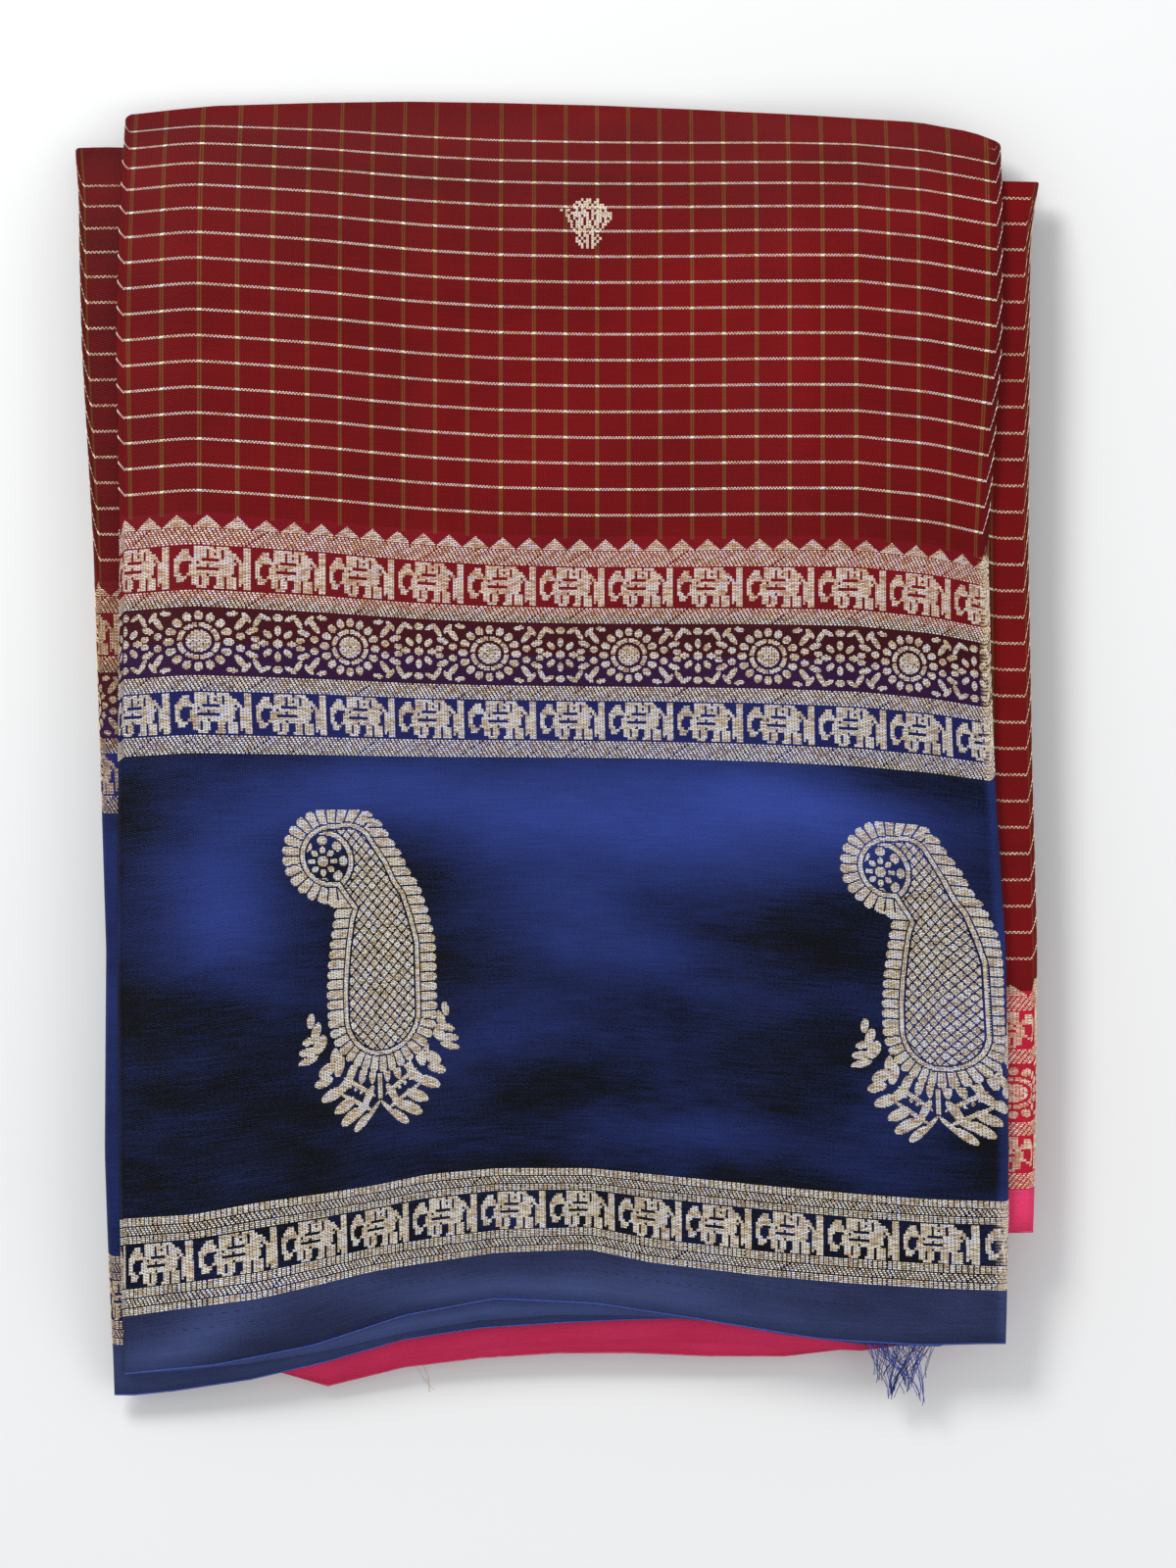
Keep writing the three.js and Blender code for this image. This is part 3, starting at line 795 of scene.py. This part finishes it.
def paisley(u, v, centre_u):
    a = (u - centre_u) / PAISLEY["u_unit"] + PAISLEY["middle"]
    down = PAISLEY["middle_down"] - (v - PAISLEY["v"]) / PAISLEY["v_unit"]
    depth = np.full(a.shape, 1e9)
    for (a0, d0, r0), (a1, d1, r1) in zip(PAISLEY_BODY, PAISLEY_BODY[1:]):
        for share in (0, 0.25, 0.5, 0.75, 1):
            reach = np.hypot(a - mix(a0, a1, share), down - mix(d0, d1, share)) - mix(r0, r1, share)
            depth = np.minimum(depth, reach)
    head = np.arctan2(down - 268, a - 255) * 190
    foot = np.arctan2(down - 1010, a - 470) * 250
    side = np.where((down < 470) & (a < 430), head, np.full(a.shape, float(down)))
    along_it = np.where(down > PAISLEY_BODY[-1][1], foot, side)
    petal = (along_it % PAISLEY_RIM["petal"]) / PAISLEY_RIM["petal"]
    scallop = PAISLEY_RIM["outer"] - 26 * (2 * abs(petal - 0.59)) ** 3
    there = (depth < scallop) & (depth > PAISLEY_RIM["inner"]) & (petal > 0.16)
    there |= (depth < PAISLEY_RIM["line_from"]) & (depth > PAISLEY_RIM["line_to"])
    pitch = PAISLEY_LATTICE["pitch"]
    first = ((a + down * PAISLEY_LATTICE["slope"]) % pitch) / pitch
    second = ((a - down * PAISLEY_LATTICE["slope"]) % pitch) / pitch
    dark = PAISLEY_LATTICE["dark"]
    lattice = (first > dark) & (second > dark)
    centre_a, centre_down, radius = (PAISLEY_CURL[key] for key in ("across", "down", "radius"))
    curl = np.hypot(a - centre_a, down - centre_down)
    in_head = curl < radius
    ring = (curl < radius - 8) & (curl > radius - 30)
    inside = np.where(in_head, ring, lattice)
    buds = curl < 24
    for k in range(PAISLEY_CURL["petals"]):
        degrees = k * 360 / PAISLEY_CURL["petals"]
        turn = math.radians(degrees)
        for out, length, breadth in PAISLEY_CURL["rings"]:
            bud_a, bud_down = centre_a + out * math.cos(turn), centre_down + out * math.sin(turn)
            buds |= oval(a, down, bud_a, bud_down, degrees, length, breadth)
    there |= (depth < PAISLEY_RIM["lattice"]) & (inside | (in_head & buds))
    across_it = abs(a - 450)
    outside = depth > PAISLEY_RIM["outer"]
    base = (across_it < 11) & (down > 1282) & (down < 1400)
    for leaf in PAISLEY_LEAVES:
        base |= oval(across_it, down, *leaf)
    for across, low_down, degrees, length, breadth in PAISLEY_BANDS:
        base |= oval(across_it, down, across, low_down, degrees, length, breadth)
    for k in range(PAISLEY_DOTS["count"]):
        dot_across = PAISLEY_DOTS["across"] + k * PAISLEY_DOTS["step"]
        dot_down = PAISLEY_DOTS["down"] + k * PAISLEY_DOTS["fall"]
        base |= np.hypot(across_it - dot_across, down - dot_down) < PAISLEY_DOTS["size"] / 2
    return there | (base & outside)


# Checks of the body: gold rows across the whole cloth, and a knot where each meets a brown line
CHECK = {"pitch": 13.13, "brown": 15.8, "zigzag": 1.55, "swing": 0.34, "knot": 1.9}


def weave_check_row(thread, span, v, tint):
    line = thread.cloth.at_row(v, span)
    for side in (-1, 1):
        starts = np.arange(line[0, 0] + (side + 1) * CHECK["zigzag"] / 4, line[-1, 0] - 1, CHECK["zigzag"])
        runs = stretches(starts, CHECK["zigzag"] * 0.66)
        thread.add_row(span, v + side * CHECK["swing"], 0.62, runs, tint)
    first = math.ceil(line[0, 0] / CHECK["brown"]) * CHECK["brown"]
    knots = np.arange(first, line[-1, 0] - 1, CHECK["brown"])
    knots = knots[knots > line[0, 0] + 1]
    thread.add_row(span, v, 1.3, stretches(knots - CHECK["knot"] / 2, CHECK["knot"]), tint, 0.36)


# Stitches and edges of the hems
STITCH = {"inset": 1.5, "short": 3, "pitch": 5.4, "length": 2.4, "width": 0.85, "rise": 0.12}
EDGE_THREAD = {"inset": 0, "short": 3, "pitch": 3, "length": 3.12, "width": 0.8, "rise": 0.22}


def sew(thread, span, v, kind, tint):
    line = thread.cloth.at_row(v, span)
    starts = np.arange(line[0, 0] + kind["inset"], line[-1, 0] - kind["short"], kind["pitch"])
    thread.add_row(span, v, kind["width"], stretches(starts, kind["length"]), tint, kind["rise"])


# Materials
class Nodes:
    """Short names for making shader nodes."""

    def __init__(self, name):
        self.material = bpy.data.materials.new(name)
        self.material.use_nodes = True
        self.tree = self.material.node_tree
        self.shader = self.tree.nodes["Principled BSDF"]

    def plug(self, value, socket):
        if isinstance(value, bpy.types.NodeSocket):
            self.tree.links.new(value, socket)
        else:
            socket.default_value = value

    def node(self, kind, **settings):
        made = self.tree.nodes.new(kind)
        for key, value in settings.items():
            setattr(made, key, value)
        return made

    def math(self, operation, a, b=0.0, c=0.0):
        made = self.node("ShaderNodeMath", operation=operation)
        for socket, value in zip(made.inputs, (a, b, c)):
            self.plug(value, socket)
        return made.outputs[0]

    def add(self, a, b):
        return self.math("ADD", a, b)

    def times(self, a, b):
        return self.math("MULTIPLY", a, b)

    def vary(self, value, noise, amount):
        """A value, moved up and down by a noise."""
        return self.math("MULTIPLY_ADD", self.math("SUBTRACT", noise, 0.5), amount, value)

    def bump(self, height, strength, distance):
        made = self.node("ShaderNodeBump")
        made.inputs["Strength"].default_value = strength
        made.inputs["Distance"].default_value = distance
        self.plug(height, made.inputs["Height"])
        self.plug(made.outputs[0], self.shader.inputs["Normal"])

    def mix(self, share, a, b):
        made = self.node("ShaderNodeMix", data_type="RGBA")
        self.plug(share, made.inputs[0])
        self.plug(a, made.inputs[6])
        self.plug(b, made.inputs[7])
        return made.outputs[2]

    def ramp(self, value, stops, interpolation="LINEAR"):
        made = self.node("ShaderNodeValToRGB")
        made.color_ramp.interpolation = interpolation
        elements = made.color_ramp.elements
        while len(elements) < len(stops):
            elements.new(1.0)
        for element, (place, code) in zip(elements, stops):
            element.position = place
            element.color = colour(code)
        self.plug(value, made.inputs[0])
        return made.outputs[0]

    def attribute(self, name):
        return self.node("ShaderNodeAttribute", attribute_name=name).outputs["Fac"]

    def noise(self, vector, scale, detail=3.0, stretch=(1, 1, 1)):
        scaled = self.node("ShaderNodeVectorMath", operation="MULTIPLY")
        self.plug(vector, scaled.inputs[0])
        scaled.inputs[1].default_value = stretch
        made = self.node("ShaderNodeTexNoise")
        made.inputs["Scale"].default_value = scale
        made.inputs["Detail"].default_value = detail
        self.plug(scaled.outputs[0], made.inputs["Vector"])
        return made.outputs["Fac"]

    def band(self, value, low, high):
        return self.times(self.math("GREATER_THAN", value, low), self.math("LESS_THAN", value, high))


def silk_material():
    """Silk: grounds by v, painted light and painted shade by tone, twill, slubs, brown check lines and woven
    gold.
    """
    n = Nodes("sari_silk")
    weave = n.node("ShaderNodeUVMap", uv_map="Weave").outputs[0]
    parts = n.node("ShaderNodeSeparateXYZ")
    n.plug(weave, parts.inputs[0])
    u = n.math("DIVIDE", parts.outputs[0], MM)
    v = n.math("DIVIDE", parts.outputs[1], MM)
    share = n.math("DIVIDE", v, WIDTH)
    dark = n.ramp(share, [(start / WIDTH, shade) for _, start, shade, _, _ in GROUNDS], "CONSTANT")
    bright = n.ramp(share, [(start / WIDTH, shade) for _, start, _, shade, _ in GROUNDS], "CONSTANT")
    cloudy = n.noise(weave, 14, 4, (1, 2.2, 1))
    slubs = n.noise(weave, 60, 4, (1, 14, 1))
    grain = n.noise(weave, 900, 2, (1, 1.6, 1))
    # The tone, with its painted light and shade, varied at random by clouds, slubs and grain
    tone_and_painted_light = n.vary(n.vary(n.vary(n.attribute("tone_and_painted_light"), cloudy, 0.55), slubs, 0.35), grain, 0.5)
    tone_and_painted_light = n.math("MINIMUM", n.math("MAXIMUM", tone_and_painted_light, 0.0), 1.0)
    # Painted light and shade: each ground's colour in painted shade or in painted light, mixed by the tone
    ground = n.mix(tone_and_painted_light, dark, bright)
    checked = n.band(v, BODY_FROM, BODY_TO)
    from_line = n.math("ABSOLUTE", n.math("WRAP", u, CHECK["brown"] / 2, -CHECK["brown"] / 2))
    line = n.times(n.band(from_line, 0.2, 0.88), checked)
    # The brown lines are painted in shade and in light as well, mixed by the tone
    ground = n.mix(n.times(line, 0.7), ground, n.mix(tone_and_painted_light, colour("4a2c0c"), colour("825f2c")))
    gold = n.mix(n.noise(weave, 500, 2), colour("8d6c45"), colour("e6d3a6"))
    bare = n.math("SUBTRACT", 1.0, n.attribute("dressed"))
    rows = n.math("LESS_THAN", n.math("FRACT", n.math("DIVIDE", v, 1.9)), 0.62)
    ticks = n.math("LESS_THAN", n.math("FRACT", n.math("DIVIDE", n.add(u, v), 2.3)), 0.7)
    field = n.math("GREATER_THAN", n.noise(weave, 190, 1), 0.47)
    w = n.math("SUBTRACT", WIDTH, v)
    red_border = n.band(w, RED_BORDER["hem"], RED_BORDER["hem"] + RED_BORDER["height"])
    borders = n.add(n.band(v, BORDER_FROM, BODY_FROM - 2), n.add(n.band(v, 30, 78), red_border))
    strong = n.times(n.times(borders, rows), n.math("MAXIMUM", field, ticks))
    beside = n.math("WRAP", n.math("SUBTRACT", v, BODY_FROM), CHECK["pitch"] / 2, -CHECK["pitch"] / 2)
    thin = n.times(n.math("LESS_THAN", n.math("ABSOLUTE", beside), 0.34), n.times(checked, ticks))
    shown = n.times(bare, n.math("MINIMUM", n.add(strong, thin), 1.0))
    n.plug(n.mix(shown, ground, gold), n.shader.inputs["Base Color"])
    greys = [(start / WIDTH, f"{round(r * 255):02x}" * 3) for _, start, _, _, r in GROUNDS]
    roughness = n.math("POWER", n.ramp(share, greys, "CONSTANT"), 0.4545)
    n.plug(n.vary(roughness, slubs, 0.2), n.shader.inputs["Roughness"])
    n.shader.inputs["Specular IOR Level"].default_value = 0.1
    ribs = n.math("SINE", n.times(n.add(v, n.times(u, 0.35)), 5.2))
    lines = n.math("SINE", n.times(u, 6.1))
    surface = n.add(n.times(ribs, 0.5), n.times(lines, 0.3))
    surface = n.add(surface, n.add(n.times(slubs, 1.6), n.times(grain, 1.2)))
    n.bump(surface, 0.55, 0.00022)
    return n.material


def thread_material(name, stops, metallic, roughness):
    """Thread whose colour goes by its own number, with fine specks."""
    n = Nodes(name)
    place = n.node("ShaderNodeTexCoord").outputs["Object"]
    specks = n.noise(place, 900, 2)
    n.plug(n.ramp(n.vary(n.attribute("tint"), specks, 0.25), stops), n.shader.inputs["Base Color"])
    n.shader.inputs["Metallic"].default_value = metallic
    n.plug(n.math("MULTIPLY_ADD", specks, 0.2, roughness), n.shader.inputs["Roughness"])
    n.bump(specks, 0.4, 0.0001)
    return n.material


# Shades of thread by their number. Sewing thread is dark, blue, red or pale.
GOLD_STOPS = [
    (0.0, "ab8a62"), (0.25, "dcc29c"), (0.5, "f3e6c8"),
    (0.72, "fffaec"), (0.85, "e4e2f2"), (1.0, "fffaf0"),
]
SEWING_STOPS = [
    (0.0, "0a0d24"), (0.2, "2a3f8f"), (0.45, "3f5fc4"),
    (0.6, "a81f45"), (0.8, "e2406c"), (1.0, "f4ece0"),
]
END_STOPS = [(0.0, "0c1238"), (0.5, "22358a"), (1.0, "4a63c8")]
# Panels whose gold that shows is built of floats. The others have it painted in the silk.
DRESSED_PANELS = [1, 2, 3]

silk = silk_material()
gold = thread_material("gold_thread", GOLD_STOPS, 0.05, 0.36)
cotton = thread_material("sewing_thread", SEWING_STOPS, 0.0, 0.6)
blue_thread = thread_material("end_threads", END_STOPS, 0.0, 0.55)

cloth = Cloth()
sheet = make_cloth(cloth, silk)
front = cloth.span_of(1, [0, 1])
right_strip = cloth.span_of(2, [2], faces=False)
left_strip = cloth.span_of(3, [3], faces=False)


def check_rows(thread, span, start, step, count, tint):
    for k in range(1, count + 1):
        weave_check_row(thread, span, start + step * k, tint)


def place_on_front(x, v):
    """u at X on the front, along the row of v."""
    line = cloth.at_row(v, front)
    return float(np.interp(x, line[:, 1], line[:, 0]))


# Front: gold of the borders, of the two paisleys, of the checks and of the spray
FRONT_TINT = (0.1, 1.0)
borders, figures, paisleys, checks, sides, sewing = (Thread(cloth) for _ in range(6))
for thread, kinds in ((borders, ("rope", "temple", "grid")), (figures, ("elephants", "flowers"))):
    for bands in (BORDER, BAND):
        weave_bands(thread, front, [row for row in bands if row[0] in kinds], FRONT_TINT)

PAISLEY_ROWS = {"from": 108, "to": 280, "pitch": 0.76, "reach": 48.3}
first_u = place_on_front(PAISLEY["x"], PAISLEY["v"])
for centre_u in (first_u, first_u + 8 * UNIT):
    for row in range(int((PAISLEY_ROWS["to"] - PAISLEY_ROWS["from"]) / PAISLEY_ROWS["pitch"])):
        v = PAISLEY_ROWS["from"] + row * PAISLEY_ROWS["pitch"]
        weave_row(paisleys, front, v, PAISLEY_ROWS["pitch"], row, FRONT_TINT,
                  lambda u: paisley(u, v, centre_u),
                  (centre_u - PAISLEY_ROWS["reach"], centre_u + PAISLEY_ROWS["reach"]))

check_rows(checks, front, BODY_FROM, CHECK["pitch"], 16, (0.25, 0.9))
SPRAY_PLACE = {"x": 14.7, "v": 588, "width": 26, "height": 27, "pitch": 0.75, "reach": 14}
spray_u = place_on_front(SPRAY_PLACE["x"], SPRAY_PLACE["v"])
for row in range(int(SPRAY_PLACE["height"] / SPRAY_PLACE["pitch"])):
    share = (row + 0.5) * SPRAY_PLACE["pitch"] / SPRAY_PLACE["height"]
    v = SPRAY_PLACE["v"] + (share - 0.5) * SPRAY_PLACE["height"]
    weave_row(checks, front, v, SPRAY_PLACE["pitch"], row, (0.4, 0.8),
              lambda u: charted(SPRAY, ((u - spray_u) / SPRAY_PLACE["width"] + 0.5) * len(SPRAY[0]), share),
              (spray_u - SPRAY_PLACE["reach"], spray_u + SPRAY_PLACE["reach"]))

# Strips of the folds behind, at both sides
RED_SHARE = RED_BORDER["height"] / (BODY_FROM - BORDER_FROM)


def from_red_hem(v):
    return WIDTH - RED_BORDER["hem"] - (v - BORDER_FROM) * RED_SHARE


weave_bands(sides, right_strip, BORDER, (0.15, 0.7), from_red_hem, RED_SHARE)
check_rows(sides, right_strip, BODY_TO, -CHECK["pitch"], 31, (0.1, 0.6))
weave_bands(sides, left_strip, BORDER + BAND, (0.0, 0.45))
check_rows(sides, left_strip, BODY_FROM, CHECK["pitch"], 16, (0.1, 0.6))

# Hems: stitches, and the thread that closes each edge
DARK, BLUE, RED, PINK = (0.0, 0.02), (0.25, 0.32), (0.68, 0.78), (0.5, 0.56)
HEM_LINE = 0.45
for v in (25, 19):
    sew(sewing, front, v, STITCH, DARK)
for panels, v, tint in (((1, 2, 3), HEM_LINE, BLUE), ((2, 5, 6), WIDTH - HEM_LINE, RED)):
    for panel in panels:
        sew(sewing, cloth.span_of(panel, [panel - 1, panel]), v, EDGE_THREAD, tint)
sew(sewing, right_strip, WIDTH - 20, STITCH, PINK)

# Ends of the warp: a loose tuft from under the front hem
TUFT = {"left": 148.5, "right": 190, "y": -287, "count": 64, "radius": 0.22, "steps": 12}
# Where the threads go: share of them, X and Y of the tip, how closely they keep together
TUFT_TIPS = [
    [0.3, 166, -321.5, 0.16],
    [0.24, 174.5, -318, 0.2],
    [0.16, 160, -312, 0.35],
    [0.14, 181, -311, 0.5],
    [0.1, 184, -325, 0.3],
    [0.06, 192, -306, 0.4],
]


def tube(points, radius, sides=3):
    """A thin thread along points, closed at its ends."""
    points = np.asarray(points)
    along_it = np.gradient(points, axis=0)
    across_it = np.cross(along_it, (0, 0, 1))
    across_it /= np.maximum(np.linalg.norm(across_it, axis=1, keepdims=True), 1e-9)
    up = np.cross(across_it, along_it)
    up /= np.maximum(np.linalg.norm(up, axis=1, keepdims=True), 1e-9)
    rings = []
    for k in range(sides):
        turn = 2 * math.pi * k / sides
        rings.append(points + radius * (across_it * math.cos(turn) + up * math.sin(turn)))
    vertices = np.stack(rings, 1).reshape(-1, 3)
    faces = []
    for i in range(len(points) - 1):
        for k in range(sides):
            a, b = i * sides + k, i * sides + (k + 1) % sides
            faces.append((a, b, b + sides, a + sides))
    faces.append(tuple(range(sides))[::-1])
    last = (len(points) - 1) * sides
    faces.append(tuple(last + k for k in range(sides)))
    return vertices, faces


def join_tubes(name, tubes, tints, material):
    vertices, faces, values = [], [], []
    for (points, quads), tint in zip(tubes, tints):
        base = sum(len(v) for v in vertices)
        vertices.append(points)
        faces += [tuple(base + k for k in face) for face in quads]
        values.append(np.full(len(points), tint))
    mesh = new_mesh(name, in_frame(np.concatenate(vertices)), faces)
    add_float_attribute(mesh, "tint", np.concatenate(values))
    return add_object(name, mesh, material)


def tuft():
    tubes, tints = [], []
    for k in range(TUFT["count"]):
        share = (k + 0.5) / TUFT["count"]
        pick = rng.random()
        passed = np.cumsum([row[0] for row in TUFT_TIPS])
        _, tip_x, tip_end, keep = TUFT_TIPS[int(np.argmax(pick <= passed + 1e-6))]
        root_x = mix(TUFT["left"], TUFT["right"], share)
        end_x = tip_x + (root_x - tip_x) * keep * 0.5 + rng.uniform(-1, 1)
        end_y = tip_end + rng.uniform(-3, 4)
        t = np.linspace(0, 1, TUFT["steps"])
        x = mix(root_x, end_x, smooth(t) * 0.8 + t * 0.2) + np.sin(t * rng.uniform(8, 15) + k) * 0.55 * t
        y = mix(TUFT["y"], end_y, t)
        z = np.array([float(height(0, "blue", a, b)) for a, b in zip(x, y)]) + rng.uniform(-0.15, 0.9) * t
        z = np.maximum(z, TUFT["radius"] + 0.05)
        tubes.append(tube(np.stack([x, y, z], 1), TUFT["radius"]))
        tints.append(rng.random())
    strip_x = np.linspace(TUFT["left"], TUFT["right"], 15)
    strip = [[x, TUFT["y"] + 0.6, float(height(0, "blue", x, TUFT["y"]))] for x in strip_x]
    tubes.append(tube(strip, 0.5, 4))
    tints.append(0.3)
    return join_tubes("end_thread_tuft", tubes, tints, blue_thread)


ends = tuft()

# A pale thread left from sewing, under the red hem
STRAY = [
    [-75, -301.5, 1.2], [-73, -304, 0.7], [-70.6, -308, 0.4],
    [-67.5, -313, 0.35], [-65, -317, 0.35], [-61, -320.5, 0.35],
]
STRAY_SECOND = [
    [-73.6, -302, 1.2], [-71.4, -306, 0.6], [-66.5, -308.5, 0.4],
    [-64, -314, 0.35], [-63.5, -321.5, 0.35],
]
stray = join_tubes("stray_thread", [tube(STRAY, 0.2), tube(STRAY_SECOND, 0.17)], [1.0, 0.97], cotton)

woven = {"borders": borders, "figures": figures, "paisleys": paisleys, "checks": checks, "sides": sides}
pieces = [thread.make("gold_" + name, gold) for name, thread in woven.items()]
pieces += [sewing.make("hem_sewing", cotton), stray]
for piece in [sheet, ends, *pieces]:
    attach(piece, "root")
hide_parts("sari_cloth")
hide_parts("end_threads")

# Floor, light and camera
FLOOR_HALF = 4
corners = [(x * FLOOR_HALF, y * FLOOR_HALF, 0) for x, y in ((-1, -1), (1, -1), (1, 1), (-1, 1))]
floor_mesh = new_mesh("floor", corners, [(0, 1, 2, 3)])
floor_nodes = Nodes("floor")
floor_nodes.shader.inputs["Base Color"].default_value = colour("f4f4f2")
floor_nodes.shader.inputs["Roughness"].default_value = 0.9
floor = add_object("floor", floor_mesh, floor_nodes.material, smooth_faces=False)

# Name, place in metres, size in metres and power in watts
LIGHTS = [
    ["key", (-1.1, 1.7, 1.9), 1.0, 44],
    ["fill", (1.9, -1.1, 1.8), 1.6, 12],
]
for name, place_at, size, power in LIGHTS:
    light = bpy.data.lights.new(name, "AREA")
    light.shape = "DISK"
    light.size = size
    light.energy = power
    lamp = bpy.data.objects.new(name, light)
    lamp.location = place_at
    aim = mathutils.Vector((0, 0, 0)) - mathutils.Vector(place_at)
    lamp.rotation_euler = aim.to_track_quat("-Z", "Y").to_euler()
    bpy.context.collection.objects.link(lamp)
bpy.context.scene.view_settings.view_transform = "Standard"
world = bpy.data.worlds.new("studio")
world.use_nodes = True
world.node_tree.nodes["Background"].inputs["Color"].default_value = colour("f3f5fa")
world.node_tree.nodes["Background"].inputs["Strength"].default_value = 0.62
bpy.context.scene.world = world

VIEW = {"middle": (15.8, -17), "distance": 3.0, "height": 0.784, "sensor": 36}
camera_data = bpy.data.cameras.new("camera")
camera_data.sensor_width = VIEW["sensor"]
camera_data.lens = VIEW["sensor"] * VIEW["distance"] / VIEW["height"]
camera = bpy.data.objects.new("camera", camera_data)
camera.location = (VIEW["middle"][0] * MM, VIEW["middle"][1] * MM, VIEW["distance"])
bpy.context.collection.objects.link(camera)
bpy.context.scene.camera = camera
